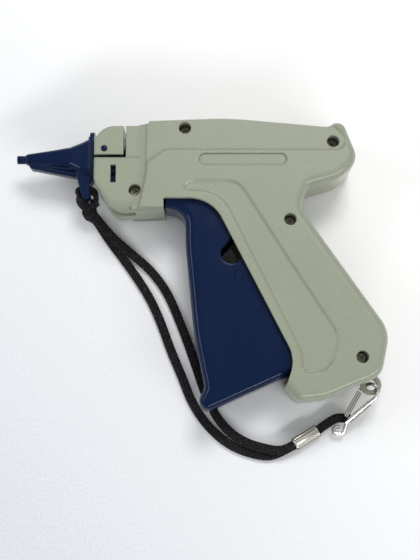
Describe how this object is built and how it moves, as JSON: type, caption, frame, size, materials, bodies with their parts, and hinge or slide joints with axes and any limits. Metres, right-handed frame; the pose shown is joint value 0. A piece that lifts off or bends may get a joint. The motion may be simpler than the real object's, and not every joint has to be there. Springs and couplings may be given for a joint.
{
  "type": "garment tag attacher",
  "caption": "Hand tool with a hollow needle, drive lever and sprung trigger that pushes plastic tag fasteners through cloth, with a pull-off needle cover on a lanyard.",
  "frame": {"origin": "centre of the footprint, on the table, with the tool lying on its right side", "axes": "+X runs from the needle to the back of the tool, +Y runs up the tool from the handle to the top, +Z runs across the casing from the right cover to the left cover"},
  "size_m": [0.1518, 0.1396, 0.026],
  "materials": {
    "casing": "satin moulded plastic, light grey-green",
    "navy": "semi-gloss moulded plastic, navy blue",
    "steel": "plated steel",
    "needle_steel": "polished steel",
    "acetal": "plain white acetal",
    "strap": "black braided polyester tape",
    "nickel": "satin nickel plate"
  },
  "bodies": {
    "casing": {"left_cover": "casing", "right_cover": "casing", "nose_cap": "casing", "casing_screws": "steel", "nose_frame": "navy", "needle_hub": "acetal", "needle": "needle_steel", "knife_blade": "needle_steel", "trigger_pin": "steel", "lever_pin": "steel", "feed_axle": "steel", "detent_spring": "steel", "return_spring": "steel", "strap_outer": "strap", "strap_inner": "strap", "strap_tail": "strap", "crimp_ferrule": "nickel", "snap_hook": "needle_steel"},
    "trigger": {"trigger": "navy"},
    "drive_lever": {"drive_lever": "acetal", "drive_pin": "steel"},
    "carriage": {"carriage": "acetal", "carriage_pin": "steel", "ejector_rod": "needle_steel"},
    "feed_wheel": {"feed_wheel": "acetal"},
    "feed_slide": {"feed_slide": "acetal"},
    "needle_lock": {"needle_lock": "navy"},
    "needle_cover": {"needle_cover": "navy", "strap_hitch": "strap"},
    "snap_gate": {"snap_gate": "needle_steel"}
  },
  "joints": [
    {"name": "trigger_hinge", "type": "hinge", "parent": "casing", "child": "trigger", "pos_m": [-0.014, 0.031, 0.013], "axis": [0, 0, 1], "range_deg": [0, 18], "stiffness_Nm_per_rad": 1.2, "springref_deg": -14.32},
    {"name": "drive_lever_hinge", "type": "hinge", "parent": "casing", "child": "drive_lever", "pos_m": [0.0206, 0.0132, 0.013], "axis": [0, 0, 1], "range_deg": [0, 64.5], "deforming": ["return_spring"]},
    {"name": "carriage_slide", "type": "slide", "parent": "casing", "child": "carriage", "axis": [-1, 0, 0], "range_m": [0, 0.03805]},
    {"name": "feed_wheel_turn", "type": "hinge", "parent": "casing", "child": "feed_wheel", "pos_m": [-0.03, 0.0375, 0.0094], "axis": [1, 0, 0], "range_deg": [0, 45.1]},
    {"name": "feed_slide_travel", "type": "slide", "parent": "casing", "child": "feed_slide", "axis": [0, -1, 0], "range_m": [0, 0.00223]},
    {"name": "needle_lock_slide", "type": "slide", "parent": "casing", "child": "needle_lock", "axis": [0, -1, 0], "range_m": [0, 0.0022], "stiffness_N_per_m": 15, "springref_m": -0.0005},
    {"name": "needle_cover_slide", "type": "slide", "parent": "casing", "child": "needle_cover", "axis": [-1, 0, 0], "range_m": [0, 0.036]},
    {"name": "snap_gate_hinge", "type": "hinge", "parent": "casing", "child": "snap_gate", "pos_m": [0.0608, -0.0609, 0.0055], "axis": [0, 0, 1], "range_deg": [-12, 0], "stiffness_Nm_per_rad": 0.0008, "springref_deg": 3.44}
  ],
  "couplings": [
    {"joint": "drive_lever_hinge", "follows": "trigger_hinge", "ratio": 3.5778},
    {"joint": "carriage_slide", "follows": "trigger_hinge", "m_per_rad": 0.12096},
    {"joint": "feed_wheel_turn", "follows": "trigger_hinge", "ratio": 2.5},
    {"joint": "feed_slide_travel", "follows": "trigger_hinge", "m_per_rad": 0.007066}
  ]
}
